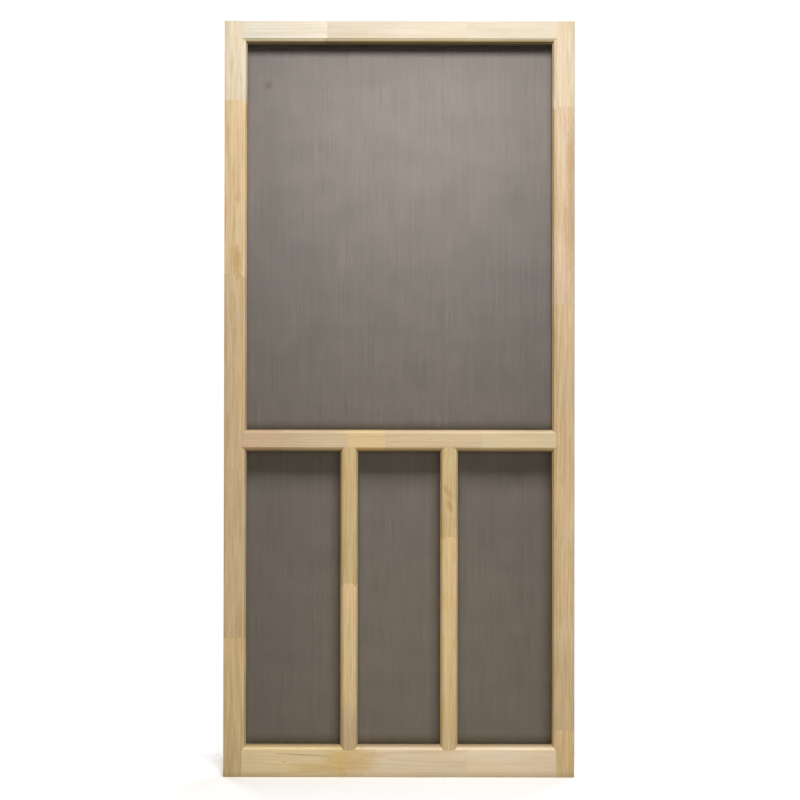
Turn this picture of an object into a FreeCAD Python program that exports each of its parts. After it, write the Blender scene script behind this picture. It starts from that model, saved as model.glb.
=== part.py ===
import FreeCAD, Part
import math
import os

import Sketcher

# Driving sizes in mm. The door's width runs along X from the hinge edge, its depth along Y from front to
# back and its height along Z from the bottom edge.
SIZES = {
    # Outline of the door leaf
    "door_width": 914.0,
    "door_height": 1971.0,
    "door_thickness": 28.6,
    # Stiles, rails and bars, moulded edges included
    "stile_width": 57.0,
    "top_rail_height": 55.0,
    "middle_rail_height": 55.5,
    "middle_rail_centre": 875.5,
    "bottom_rail_height": 79.0,
    "bar_width": 45.0,
    "bar_spacing": 261.0,
    # Moulded inner edge: a quarter round between two small steps
    "ovolo_radius": 8.3,
    "ovolo_step": 1.2,
    # Eased outer edges
    "arris_radius": 1.5,
    # Mortise and tenon joints
    "tenon_thickness": 9.0,
    "tenon_cover": 1.5,
    "tenon_margin": 1.5,
    "tenon_haunch": 12.0,
    "rail_tenon_length": 32.0,
    "bar_tenon_length": 14.0,
    "joint_clearance": 0.15,
    "mortise_relief": 1.0,
    # Rabbet routed round each opening at the back, and the groove in its floor
    "rabbet_width": 11.0,
    "rabbet_depth": 4.0,
    "groove_inset": 4.0,
    "groove_width": 4.0,
    "groove_depth": 4.0,
    # Insect screen and the vinyl spline that holds it in the groove
    "screen_thickness": 0.6,
    "screen_tuck": 3.4,
    "spline_clearance": 0.05,
}

doc = FreeCAD.newDocument("screen_door")
sheet = doc.addObject("Spreadsheet::Sheet", "Sizes")
for row, (alias, value) in enumerate(SIZES.items(), start=1):
    sheet.set(f"A{row}", alias)
    sheet.set(f"B{row}", str(value))
    sheet.setAlias(f"B{row}", alias)
doc.recompute()


class Size:
    """A length in mm together with the sheet expression that gives it."""

    def __init__(self, value, text):
        self.value = value
        self.text = text

    def __add__(self, other):
        return Size(self.value + other.value, f"({self.text} + {other.text})")

    def __sub__(self, other):
        return Size(self.value - other.value, f"({self.text} - {other.text})")

    def __neg__(self):
        return Size(-self.value, f"(-{self.text})")

    def half(self):
        return Size(self.value / 2, f"({self.text} / 2)")


def plus(a, b):
    return a + b


def minus(a, b):
    return a - b


def sheet_size(alias):
    return Size(SIZES[alias], f"Sizes.{alias}")


ZERO = Size(0.0, "0")
WIDTH = sheet_size("door_width")
HEIGHT = sheet_size("door_height")
THICKNESS = sheet_size("door_thickness")
RADIUS = sheet_size("ovolo_radius")
STEP = sheet_size("ovolo_step")
STICKING = RADIUS + STEP
ARRIS = sheet_size("arris_radius")

STILE_INNER = sheet_size("stile_width")
STILE_FLAT = STILE_INNER - STICKING
BOTTOM_EDGE = sheet_size("bottom_rail_height")
MIDDLE_LOW = sheet_size("middle_rail_centre") - sheet_size("middle_rail_height").half()
MIDDLE_HIGH = sheet_size("middle_rail_centre") + sheet_size("middle_rail_height").half()
TOP_EDGE = HEIGHT - sheet_size("top_rail_height")
BAR_HALF = sheet_size("bar_width").half()
BAR_CENTRES = {
    "left_bar": WIDTH.half() - sheet_size("bar_spacing").half(),
    "right_bar": WIDTH.half() + sheet_size("bar_spacing").half(),
}
LEFT_BAR = BAR_CENTRES["left_bar"]
RIGHT_BAR = BAR_CENTRES["right_bar"]

CLEARANCE = sheet_size("joint_clearance")
RELIEF = sheet_size("mortise_relief")
TENON_FRONT = STICKING + sheet_size("tenon_cover")
TENON_BACK = TENON_FRONT + sheet_size("tenon_thickness")
TENON_INSET = sheet_size("rabbet_width") + sheet_size("tenon_margin")
TENON_HAUNCH = sheet_size("tenon_haunch")
RAIL_TENON = sheet_size("rail_tenon_length")
BAR_TENON = sheet_size("bar_tenon_length")

RABBET_WIDTH = sheet_size("rabbet_width")
RABBET_DEPTH = sheet_size("rabbet_depth")
RABBET_FLOOR = THICKNESS - RABBET_DEPTH
GROOVE_INSET = sheet_size("groove_inset")
GROOVE_WIDTH = sheet_size("groove_width")
GROOVE_DEPTH = sheet_size("groove_depth")
SCREEN = sheet_size("screen_thickness")
SPLINE_GAP = sheet_size("spline_clearance")

# Clear openings: left, right, low and high edge
OPENINGS = {
    "upper": (STILE_INNER, WIDTH - STILE_INNER, MIDDLE_HIGH, TOP_EDGE),
    "lower_left": (STILE_INNER, LEFT_BAR - BAR_HALF, BOTTOM_EDGE, MIDDLE_LOW),
    "lower_middle": (LEFT_BAR + BAR_HALF, RIGHT_BAR - BAR_HALF, BOTTOM_EDGE, MIDDLE_LOW),
    "lower_right": (RIGHT_BAR + BAR_HALF, WIDTH - STILE_INNER, BOTTOM_EDGE, MIDDLE_LOW),
}

# Low and high edge of each rail's tenon
RAIL_TENONS = {
    "top_rail": (TOP_EDGE + TENON_INSET, HEIGHT - TENON_HAUNCH),
    "middle_rail": (MIDDLE_LOW + TENON_INSET, MIDDLE_HIGH - TENON_INSET),
    "bottom_rail": (TENON_HAUNCH, BOTTOM_EDGE - TENON_INSET),
}


def new_body(label):
    """A body whose own Y starts at the front face, set so that the door is centred on its thickness."""
    body = doc.addObject("PartDesign::Body", label)
    body.Label = label
    body.setExpression("Placement.Base.y", (-THICKNESS.half()).text)
    return body


def new_sketch(body, name, role, level):
    """A sketch on one of the body's own planes, moved to a level along that plane's axis."""
    sketch = body.newObject("Sketcher::SketchObject", f"{body.Label}_{name}")
    plane = next(f for f in body.Origin.OriginFeatures if f.Role == role)
    sketch.AttachmentSupport = [(plane, "")]
    sketch.MapMode = "FlatFace"
    offset = -level if role == "XZ_Plane" else level
    sketch.setExpression("AttachmentOffset.Base.z", offset.text)
    return sketch


def tie(sketch, constraint, name, length):
    """Adds a dimension to a sketch and ties it to the sheet."""
    index = sketch.addConstraint(constraint)
    sketch.renameConstraint(index, name)
    sketch.setExpression(f"Constraints.{name}", length.text)


def add_edge(sketch, point, following):
    """A line, or an arc where the point carries a centre and a radius. Returns its number and its two ends."""
    start = FreeCAD.Vector(point[0].value, point[1].value, 0)
    stop = FreeCAD.Vector(following[0].value, following[1].value, 0)
    if len(point) == 2:
        return sketch.addGeometry(Part.LineSegment(start, stop), False), 1, 2
    centre = FreeCAD.Vector(point[2].value, point[3].value, 0)
    circle = Part.Circle(centre, FreeCAD.Vector(0, 0, 1), point[4].value)
    first = math.atan2(start.y - centre.y, start.x - centre.x)
    last = math.atan2(stop.y - centre.y, stop.x - centre.x)
    forward = (last - first) % (2 * math.pi) < math.pi
    if not forward:
        first, last = last, first
    number = sketch.addGeometry(Part.ArcOfCircle(circle, first, last), False)
    tie(sketch, Sketcher.Constraint("Radius", number, point[4].value), f"radius_{number}", point[4])
    return (number, 1, 2) if forward else (number, 2, 1)


def add_outline(sketch, points):
    """A closed outline through the points, with every corner tied to the sheet."""
    edges = [add_edge(sketch, p, points[(i + 1) % len(points)]) for i, p in enumerate(points)]
    for i, (number, begin, end) in enumerate(edges):
        following, following_begin, _ = edges[(i + 1) % len(edges)]
        sketch.addConstraint(Sketcher.Constraint("Coincident", number, end, following, following_begin))
        x, y = points[i][:2]
        tie(sketch, Sketcher.Constraint("DistanceX", number, begin, x.value), f"across_{number}", x)
        tie(sketch, Sketcher.Constraint("DistanceY", number, begin, y.value), f"along_{number}", y)


def add_rectangle(sketch, left, right, low, high):
    add_outline(sketch, [(left, low), (right, low), (right, high), (left, high)])


def moulded_edge(edge, into_wood, place, from_back=False):
    """The moulded front corner of a member and its square edge to the back. place sets (across, depth) down."""
    flat = into_wood(edge, STICKING)
    shoulder = into_wood(edge, STEP)
    corner = [
        place(flat, ZERO),
        place(flat, STEP),
        place(shoulder, STICKING),
        place(edge, STICKING),
        place(edge, THICKNESS),
    ]
    arc = place(flat, STICKING) + (RADIUS,)
    if from_back:
        corner.reverse()
        corner[2] += arc
    else:
        corner[1] += arc
    return corner


def outer_section(outer, inner, toward_opening, place):
    """A stile or an outer rail: moulded where it faces the openings, eased at its outer edge."""
    into_wood = minus if toward_opening is plus else plus
    eased = toward_opening(outer, ARRIS)
    back = THICKNESS - ARRIS
    return moulded_edge(inner, into_wood, place) + [
        place(eased, THICKNESS) + place(eased, back) + (ARRIS,),
        place(outer, back),
        place(outer, ARRIS) + place(eased, ARRIS) + (ARRIS,),
        place(eased, ZERO),
    ]


def inner_section(low, high, place):
    """The middle rail or a bar: moulded at both edges."""
    return moulded_edge(high, minus, place) + moulded_edge(low, plus, place, from_back=True)


def in_plan(across, depth):
    return (across, depth)


def in_side_view(up, depth):
    return (depth, up)


STILE_SECTIONS = {
    "left_stile": outer_section(ZERO, STILE_INNER, plus, in_plan),
    "right_stile": outer_section(WIDTH, WIDTH - STILE_INNER, minus, in_plan),
}
RAIL_SECTIONS = {
    "top_rail": outer_section(HEIGHT, TOP_EDGE, minus, in_side_view),
    "middle_rail": inner_section(MIDDLE_LOW, MIDDLE_HIGH, in_side_view),
    "bottom_rail": outer_section(ZERO, BOTTOM_EDGE, plus, in_side_view),
}
BAR_SECTIONS = {
    name: inner_section(centre - BAR_HALF, centre + BAR_HALF, in_plan)
    for name, centre in BAR_CENTRES.items()
}


def volume(body):
    return body.Shape.Volume if body.Tip else 0.0


def add_pad(body, name, sketch, length, backward=False):
    """Adds wood along the sketch's axis, or against it."""
    before = volume(body)
    pad = body.newObject("PartDesign::Pad", f"{body.Label}_{name}")
    pad.Profile = sketch
    pad.Length = length.value
    pad.setExpression("Length", length.text)
    pad.Reversed = backward
    doc.recompute()
    if volume(body) <= before:
        raise ValueError(f"{pad.Name} adds nothing")


def add_pocket(body, name, sketch, length, forward=False):
    """Cuts against the sketch's axis, or along it."""
    before = volume(body)
    pocket = body.newObject("PartDesign::Pocket", f"{body.Label}_{name}")
    pocket.Profile = sketch
    pocket.Length = length.value
    pocket.setExpression("Length", length.text)
    pocket.Reversed = forward
    doc.recompute()
    if volume(body) >= before:
        raise ValueError(f"{pocket.Name} cuts nothing")


def outset(opening, distance):
    left, right, low, high = OPENINGS[opening]
    return left - distance, right + distance, low - distance, high + distance


def rout(body, openings):
    """The rabbet round each opening and the spline groove in its floor, cut from the back."""
    rabbets = new_sketch(body, "rabbet_lines", "XZ_Plane", THICKNESS)
    grooves = new_sketch(body, "groove_lines", "XZ_Plane", THICKNESS)
    for opening in openings:
        add_rectangle(rabbets, *outset(opening, RABBET_WIDTH))
        add_rectangle(grooves, *outset(opening, GROOVE_INSET))
        add_rectangle(grooves, *outset(opening, GROOVE_INSET + GROOVE_WIDTH))
    add_pocket(body, "rabbets", rabbets, RABBET_DEPTH, forward=True)
    add_pocket(body, "grooves", grooves, RABBET_DEPTH + GROOVE_DEPTH, forward=True)


def add_stile(label, lower_opening):
    """A full-height stile with blind mortises for the three rails."""
    body = new_body(label)
    section = new_sketch(body, "section", "XY_Plane", ZERO)
    add_outline(section, STILE_SECTIONS[label])
    add_pad(body, "length", section, HEIGHT)
    at_left = label == "left_stile"
    mortises = new_sketch(body, "mortise_lines", "YZ_Plane", STILE_INNER if at_left else WIDTH - STILE_INNER)
    for low, high in RAIL_TENONS.values():
        add_rectangle(
            mortises, TENON_FRONT - CLEARANCE, TENON_BACK + CLEARANCE, low - CLEARANCE, high + CLEARANCE
        )
    add_pocket(body, "mortises", mortises, RAIL_TENON + RELIEF, forward=not at_left)
    rout(body, ["upper", lower_opening])
    return body


def add_rail(label, openings):
    """A rail between the stiles' flats, coped over their mouldings, with a tenon at each end."""
    body = new_body(label)
    section = new_sketch(body, "section", "YZ_Plane", STILE_FLAT)
    add_outline(section, RAIL_SECTIONS[label])
    add_pad(body, "length", section, WIDTH - STILE_FLAT - STILE_FLAT)
    copes = new_sketch(body, "cope_lines", "XY_Plane", ZERO)
    for outline in STILE_SECTIONS.values():
        add_outline(copes, outline)
    add_pocket(body, "copes", copes, HEIGHT, forward=True)
    tenon_end = STILE_INNER - RAIL_TENON
    tenons = new_sketch(body, "tenon_lines", "YZ_Plane", tenon_end)
    add_rectangle(tenons, TENON_FRONT, TENON_BACK, *RAIL_TENONS[label])
    add_pad(body, "tenons", tenons, WIDTH - tenon_end - tenon_end)
    rout(body, openings)
    return body


def add_bar_mortises(body, level, upward):
    """Mortises for the two bars in the edge of a rail."""
    mortises = new_sketch(body, "bar_mortise_lines", "XY_Plane", level)
    for centre in BAR_CENTRES.values():
        half = BAR_HALF - TENON_INSET + CLEARANCE
        add_rectangle(mortises, centre - half, centre + half, TENON_FRONT - CLEARANCE, TENON_BACK + CLEARANCE)
    add_pocket(body, "bar_mortises", mortises, BAR_TENON + RELIEF, forward=upward)


def add_bar(label, openings):
    """An upright bar between the rails' flats, coped over their mouldings, with a stub tenon at each end."""
    body = new_body(label)
    low = BOTTOM_EDGE - STICKING
    high = MIDDLE_LOW + STICKING
    section = new_sketch(body, "section", "XY_Plane", low)
    add_outline(section, BAR_SECTIONS[label])
    add_pad(body, "length", section, high - low)
    copes = new_sketch(body, "cope_lines", "YZ_Plane", ZERO)
    for rail in ("bottom_rail", "middle_rail"):
        add_outline(copes, RAIL_SECTIONS[rail])
    add_pocket(body, "copes", copes, WIDTH, forward=True)
    tenon_low = BOTTOM_EDGE - BAR_TENON
    tenons = new_sketch(body, "tenon_lines", "XY_Plane", tenon_low)
    half = BAR_HALF - TENON_INSET
    centre = BAR_CENTRES[label]
    add_rectangle(tenons, centre - half, centre + half, TENON_FRONT, TENON_BACK)
    add_pad(body, "tenons", tenons, MIDDLE_LOW + BAR_TENON - tenon_low)
    rout(body, openings)
    return body


def add_screen(opening):
    """A sheet of insect screen on the rabbet floor, its edge turned down the inner wall of the groove."""
    body = new_body(f"{opening}_screen")
    cloth = new_sketch(body, "cloth_lines", "XZ_Plane", RABBET_FLOOR)
    add_rectangle(cloth, *outset(opening, GROOVE_INSET + SCREEN))
    add_pad(body, "cloth", cloth, SCREEN, backward=True)
    tuck = new_sketch(body, "tuck_lines", "XZ_Plane", RABBET_FLOOR)
    add_rectangle(tuck, *outset(opening, GROOVE_INSET))
    add_rectangle(tuck, *outset(opening, GROOVE_INSET + SCREEN))
    add_pad(body, "tuck", tuck, sheet_size("screen_tuck"))
    return body


def add_spline(label, radius, length, start, lying):
    """One strip of round vinyl spline, standing or lying along X, from its start."""
    strip = doc.addObject("Part::Cylinder", label)
    strip.Label = label
    strip.setExpression("Radius", radius.text)
    strip.setExpression("Height", length.text)
    if lying:
        strip.Placement.Rotation = FreeCAD.Rotation(FreeCAD.Vector(0, 1, 0), 90)
    for axis, position in zip("xyz", start):
        strip.setExpression(f"Placement.Base.{axis}", position.text)
    return strip


def add_splines(opening):
    """Four strips round an opening: the upright ones run through, the lying ones butt against them."""
    room = (GROOVE_WIDTH - SCREEN).half()
    radius = room - SPLINE_GAP
    depth = RABBET_FLOOR - GROOVE_DEPTH + radius + SPLINE_GAP - THICKNESS.half()
    left, right, low, high = outset(opening, GROOVE_INSET + SCREEN + room)
    tall = high - low + room + room
    wide = right - left - room - room
    return [
        add_spline(f"{opening}_spline_left", radius, tall, (left, depth, low - room), False),
        add_spline(f"{opening}_spline_right", radius, tall, (right, depth, low - room), False),
        add_spline(f"{opening}_spline_bottom", radius, wide, (left + room, depth, low), True),
        add_spline(f"{opening}_spline_top", radius, wide, (left + room, depth, high), True),
    ]


pieces = [
    add_stile("left_stile", "lower_left"),
    add_stile("right_stile", "lower_right"),
    add_rail("top_rail", ["upper"]),
    add_rail("middle_rail", list(OPENINGS)),
    add_rail("bottom_rail", ["lower_left", "lower_middle", "lower_right"]),
    add_bar("left_bar", ["lower_left", "lower_middle"]),
    add_bar("right_bar", ["lower_middle", "lower_right"]),
]
rails = {body.Label: body for body in pieces}
add_bar_mortises(rails["middle_rail"], MIDDLE_LOW, upward=True)
add_bar_mortises(rails["bottom_rail"], BOTTOM_EDGE, upward=False)
for opening in OPENINGS:
    pieces.append(add_screen(opening))
    pieces.extend(add_splines(opening))
doc.recompute()

for item in doc.Objects:
    if "Invalid" in item.State or "Error" in item.State:
        raise RuntimeError(f"{item.Name} did not build: {item.State}")
os.makedirs("parts", exist_ok=True)
for piece in pieces:
    if piece.Shape.isNull() or not piece.Shape.isValid():
        raise RuntimeError(f"{piece.Label} has no valid shape")
    piece.Shape.exportStep(f"parts/{piece.Label}.step")
    print(f"{piece.Label}: {piece.Shape.Volume / 1000:.1f} cm3")
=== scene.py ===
"""Finishes a wooden screen door: finger-jointed pine, woven insect screen and vinyl spline on the built leaf."""

import math

import bmesh
import bpy
from bpy.props import FloatProperty, FloatVectorProperty, IntProperty, PointerProperty
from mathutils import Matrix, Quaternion, Vector


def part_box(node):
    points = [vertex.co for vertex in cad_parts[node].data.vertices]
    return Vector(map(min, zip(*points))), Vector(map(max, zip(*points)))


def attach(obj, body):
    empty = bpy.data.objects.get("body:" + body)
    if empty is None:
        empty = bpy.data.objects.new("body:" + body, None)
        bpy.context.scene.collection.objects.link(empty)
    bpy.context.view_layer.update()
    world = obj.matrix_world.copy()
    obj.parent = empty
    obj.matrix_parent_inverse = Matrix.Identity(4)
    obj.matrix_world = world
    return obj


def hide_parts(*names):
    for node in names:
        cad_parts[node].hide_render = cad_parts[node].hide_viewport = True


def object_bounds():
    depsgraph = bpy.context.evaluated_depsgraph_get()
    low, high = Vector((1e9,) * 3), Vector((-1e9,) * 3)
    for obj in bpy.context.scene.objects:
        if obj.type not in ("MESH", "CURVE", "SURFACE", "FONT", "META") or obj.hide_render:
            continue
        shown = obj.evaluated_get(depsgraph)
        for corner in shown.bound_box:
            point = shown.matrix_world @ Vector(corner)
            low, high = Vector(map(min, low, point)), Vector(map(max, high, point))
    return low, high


bl_info = {
    "name": "Wooden Screen Door",
    "version": (1, 0, 0),
    "blender": (4, 5, 0),
    "location": "View3D > Sidebar > Screen Door",
    "description": "Dresses a pine screen door leaf with its joinery, screen and spline",
    "category": "Object",
}

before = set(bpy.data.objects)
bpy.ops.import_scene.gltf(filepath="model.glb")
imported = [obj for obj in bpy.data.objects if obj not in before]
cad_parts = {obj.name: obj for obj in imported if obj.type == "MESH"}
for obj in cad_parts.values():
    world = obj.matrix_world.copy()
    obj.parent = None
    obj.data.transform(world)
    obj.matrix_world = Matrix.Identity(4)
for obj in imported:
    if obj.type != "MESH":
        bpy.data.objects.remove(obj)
CAD_BOX = [list(corner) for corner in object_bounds()]
FRONT = CAD_BOX[0][1]
BACK = CAD_BOX[1][1]
HEIGHT = CAD_BOX[1][2]
WIDTH = CAD_BOX[1][0]

OPENINGS = {
    "upper": ("left_stile", "right_stile", "middle_rail", "top_rail"),
    "lower_left": ("left_stile", "left_bar", "bottom_rail", "middle_rail"),
    "lower_middle": ("left_bar", "right_bar", "bottom_rail", "middle_rail"),
    "lower_right": ("right_bar", "right_stile", "bottom_rail", "middle_rail"),
}
SPLINE_SIDES = ("left", "right", "bottom", "top")
LOWER = [name for name in OPENINGS if name != "upper"]

# Members that others are coped over, and the way from each to the wood that it shapes.
STILE_COPES = (("left_stile", 1), ("right_stile", -1))
RAIL_COPES = (("bottom_rail", 1), ("middle_rail", -1))

# How far cutters reach past the faces, the outer edges and the ends of the wood.
PAST_FACE = 0.005
PAST_EDGE = 0.02
PAST_END = 0.05

# Blanks of rails start this far in from the door's sides, and blanks of bars run this far into the rails.
RAIL_INSET = 0.03
BAR_TUCK = 0.02

# Facets of the quarter round and of the eased edges, and the angles in degrees past which edges are sanded or sharp.
OVOLO_FACETS = 10
ARRIS_FACETS = 4
SANDED_PAST = 40
SHARP_PAST = 20


def srgb(r, g, b):
    """A colour given as 0 to 255 display values, as the linear values that shaders use."""
    return tuple(((c / 255 + 0.055) / 1.055) ** 2.4 if c > 10 else c / 255 / 12.92 for c in (r, g, b))


# Settings

class DoorJoinery(bpy.types.PropertyGroup):
    """Sizes of the moulding and of the routed back."""

    ovolo_radius: FloatProperty(name="Ovolo Radius", description="Radius of the quarter round on the inner edges",
                                default=0.0083, min=0.001, unit="LENGTH")
    ovolo_step: FloatProperty(name="Ovolo Step", description="Height of the two small steps beside the quarter round",
                              default=0.0012, min=0.0001, unit="LENGTH")
    outer_arris: FloatProperty(name="Outer Arris", description="Radius of the eased outer edges",
                               default=0.0015, min=0.0001, unit="LENGTH")
    fine_arris: FloatProperty(name="Fine Arris", description="Sanding radius of every other sharp edge",
                              default=0.00035, min=0.00005, unit="LENGTH")
    rabbet_width: FloatProperty(name="Rabbet Width", description="Width of the rabbet round each opening",
                                default=0.011, min=0.001, unit="LENGTH")
    rabbet_depth: FloatProperty(name="Rabbet Depth", description="Depth of the rabbet from the back face",
                                default=0.004, min=0.001, unit="LENGTH")
    groove_inset: FloatProperty(name="Groove Inset", description="Wood between the opening and the spline groove",
                                default=0.004, min=0.001, unit="LENGTH")
    groove_width: FloatProperty(name="Groove Width", description="Width of the spline groove",
                                default=0.004, min=0.001, unit="LENGTH")
    groove_depth: FloatProperty(name="Groove Depth", description="Depth of the groove below the rabbet floor",
                                default=0.004, min=0.001, unit="LENGTH")


class DoorWood(bpy.types.PropertyGroup):
    """Look of the bare pine."""

    ring_gap: FloatProperty(name="Ring Gap", description="Distance between growth rings",
                            default=0.0052, min=0.001, unit="LENGTH")
    finger_length: FloatProperty(name="Finger Length", description="Length of the fingers of the end joints",
                                 default=0.010, min=0.001, unit="LENGTH")
    finger_pitch: FloatProperty(name="Finger Pitch", description="Distance between the fingers",
                                default=0.0048, min=0.001, unit="LENGTH")


class DoorScreen(bpy.types.PropertyGroup):
    """Look of the woven insect screen."""

    pitch: FloatProperty(name="Thread Pitch", description="Distance between neighbouring threads",
                         default=0.0012, min=0.0003, unit="LENGTH")
    warp_width: FloatProperty(name="Upright Thread", description="Width of the upright threads",
                              default=0.00117, min=0.0001, unit="LENGTH")
    weft_width: FloatProperty(name="Lying Thread", description="Width of the threads that lie across",
                              default=0.0006, min=0.0001, unit="LENGTH")
    thickness: FloatProperty(name="Thread Thickness", description="Thickness of the threads",
                             default=0.0002, min=0.00005, unit="LENGTH")
    seed: IntProperty(name="Seed", description="Seed of the tone of each thread", default=7)
    colour: FloatVectorProperty(name="Colour", description="Colour of the coated threads", subtype="COLOR", size=3,
                                default=srgb(142, 133, 124), min=0, max=1)


class DoorStage(bpy.types.PropertyGroup):
    """Camera and studio light."""

    distance: FloatProperty(name="Camera Distance", description="Distance from the camera to the door's front",
                            default=2.8, min=1.0, unit="LENGTH")
    key_power: FloatProperty(name="Key Power", description="Power of the soft lamp that lights the wood",
                             default=30.2, min=0, unit="POWER")
    box_power: FloatProperty(name="Soft Box Power", description="Power of the gridded box that lights the screens",
                             default=15.0, min=0, unit="POWER")
    low_power: FloatProperty(name="Low Fill Power", description="Power of the low lamp that opens the screens' shadows",
                             default=1.36, min=0, unit="POWER")
    panel_power: FloatProperty(name="Panel Power", description="Power of the high panel that lights the floor",
                               default=72.0, min=0, unit="POWER")
    fill_power: FloatProperty(name="Fill Power", description="Power of the broad low light in front of the wood",
                              default=2.1, min=0, unit="POWER")
    rear_power: FloatProperty(name="Rear Power", description="Power of each of the two lamps behind the door",
                              default=44.0, min=0, unit="POWER")
    ambient: FloatProperty(name="Ambient", description="Strength of the even light all round", default=0.056, min=0)


# Mesh helpers

def new_object(name, mesh):
    piece = bpy.data.objects.new(name, mesh)
    bpy.context.scene.collection.objects.link(piece)
    return piece


def prism(name, outline, axis, start, stop):
    """A closed solid: a flat outline carried along X, Y or Z. The outline's points are in axis order."""
    rise = "XYZ".index(axis)
    build = bmesh.new()
    rings = [[build.verts.new((*point[:rise], level, *point[rise:])) for point in outline] for level in (start, stop)]
    for ring in rings:
        build.faces.new(ring)
    for i in range(len(outline)):
        j = (i + 1) % len(outline)
        build.faces.new((rings[0][i], rings[0][j], rings[1][j], rings[1][i]))
    bmesh.ops.recalc_face_normals(build, faces=build.faces)
    mesh = bpy.data.meshes.new(name)
    build.to_mesh(mesh)
    build.free()
    return new_object(name, mesh)


def arc(radius, start, stop, steps):
    """Points on an arc about the origin, angles in degrees, both ends included."""
    angles = [math.radians(start + (stop - start) * i / steps) for i in range(steps + 1)]
    return [(radius * math.cos(t), radius * math.sin(t)) for t in angles]


def moulded_side(edge, toward, rules):
    """(across, depth) points of a moulded edge, from the face to the back. toward is the way to the opening."""
    sticking = rules.ovolo_radius + rules.ovolo_step
    flat = edge - toward * sticking
    quarter = arc(rules.ovolo_radius, -90, 0, OVOLO_FACETS)
    ovolo = [(flat + toward * a, FRONT + sticking + y) for a, y in quarter]
    return [(flat, FRONT), *ovolo, (edge, FRONT + sticking), (edge, BACK)]


def eased_side(edge, toward, rules):
    """(across, depth) points of an eased outer edge, from the back to the face."""
    r = rules.outer_arris
    back = [(edge - toward * (r - a), BACK - r + y) for a, y in arc(r, 90, 0, ARRIS_FACETS)]
    face = [(edge - toward * (r - a), FRONT + r + y) for a, y in arc(r, 0, -90, ARRIS_FACETS)]
    return back + face


def finish_wood(blank, cutters, rules, name):
    """Cuts a blank, sands its edges and returns the plain object that replaces the node."""
    for cutter in cutters:
        cut = blank.modifiers.new("cut", "BOOLEAN")
        cut.object = cutter
        cut.solver = "EXACT"
    sand = blank.modifiers.new("sand", "BEVEL")
    sand.width = rules.fine_arris
    sand.segments = 2
    sand.limit_method = "ANGLE"
    sand.angle_limit = math.radians(SANDED_PAST)
    sand.use_clamp_overlap = True
    graph = bpy.context.evaluated_depsgraph_get()
    mesh = bpy.data.meshes.new_from_object(blank.evaluated_get(graph))
    mesh.name = name
    mesh.shade_smooth()
    mesh.set_sharp_from_angle(angle=math.radians(SHARP_PAST))
    for spent in [blank, *cutters]:
        bpy.data.objects.remove(spent)
    return new_object(f"{name}_wood", mesh)


def opening(name):
    """Left, right, low and high edge of an opening's clear space."""
    left, right, low, high = OPENINGS[name]
    return (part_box(left)[1][0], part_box(right)[0][0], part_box(low)[1][2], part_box(high)[0][2])


def member_edges(node):
    """The low and high edge of a member across its grain."""
    axis = 0 if node.endswith(("stile", "bar")) else 2
    low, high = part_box(node)
    return low[axis], high[axis]


def moulded_edges(node):
    """Where the moulded edges of a member lie, across its grain."""
    low, high = member_edges(node)
    one_sided = {"left_stile": [high], "right_stile": [low], "top_rail": [low], "bottom_rail": [high]}
    return one_sided.get(node, [low, high])


def section(node, rules):
    """(across, depth) outline of a member, moulded towards the openings and eased at the door's outer edges."""
    low, high = member_edges(node)
    moulded = moulded_edges(node)
    if moulded == [low, high]:
        return moulded_side(high, 1, rules) + moulded_side(low, -1, rules)[::-1]
    if moulded == [high]:
        return moulded_side(high, 1, rules) + eased_side(low, -1, rules)
    return moulded_side(low, -1, rules) + eased_side(high, 1, rules)


def rout_cutters(names, rules):
    """Solids that cut the rabbet and the groove round the openings, from behind the back face."""
    cutters = []
    past = BACK + PAST_FACE
    floor = BACK - rules.rabbet_depth

    def rectangle(edges, d):
        left, right, low, high = edges
        return [(left - d, low - d), (right + d, low - d), (right + d, high + d), (left - d, high + d)]

    for name in names:
        edges = opening(name)
        cutters.append(prism("rabbet", rectangle(edges, rules.rabbet_width), "Y", floor, past))
        inner = rectangle(edges, rules.groove_inset)
        outer = rectangle(edges, rules.groove_inset + rules.groove_width)
        for i in range(4):
            j = (i + 1) % 4
            quad = [outer[i], outer[j], inner[j], inner[i]]
            cutters.append(prism("groove", quad, "Y", floor - rules.groove_depth, past))
    return cutters


def cope_cutters(members, rules):
    """Solids in the shape of the members that a piece is coped over, reaching past their faces."""
    cutters = []
    for node, toward in members:
        low, high = member_edges(node)
        edge, outer = (high, low - PAST_EDGE) if toward == 1 else (low, high + PAST_EDGE)
        side = moulded_side(edge, toward, rules)
        outline = [(side[0][0], FRONT - PAST_FACE), *side[1:-1], (edge, BACK + PAST_FACE),
                   (outer, BACK + PAST_FACE), (outer, FRONT - PAST_FACE)]
        if node.endswith("stile"):
            cutters.append(prism("cope", outline, "Z", -PAST_END, HEIGHT + PAST_END))
        else:
            cutters.append(prism("cope", [(y, a) for a, y in outline], "X", -PAST_END, WIDTH + PAST_END))
    return cutters


# Materials

def new_group(name, inputs, outputs):
    """A shader node group with named sockets: inputs with their defaults, and outputs. Returns it and its two ends."""
    group = bpy.data.node_groups.new(name, "ShaderNodeTree")
    for socket, default in inputs.items():
        kind = "Color" if isinstance(default, tuple) else "Float"
        made = group.interface.new_socket(name=socket, in_out="INPUT", socket_type=f"NodeSocket{kind}")
        made.default_value = default
    for socket in outputs:
        kind = "Color" if socket == "Color" else "Float"
        group.interface.new_socket(name=socket, in_out="OUTPUT", socket_type=f"NodeSocket{kind}")
    return group, group.nodes.new("NodeGroupInput"), group.nodes.new("NodeGroupOutput")


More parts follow.
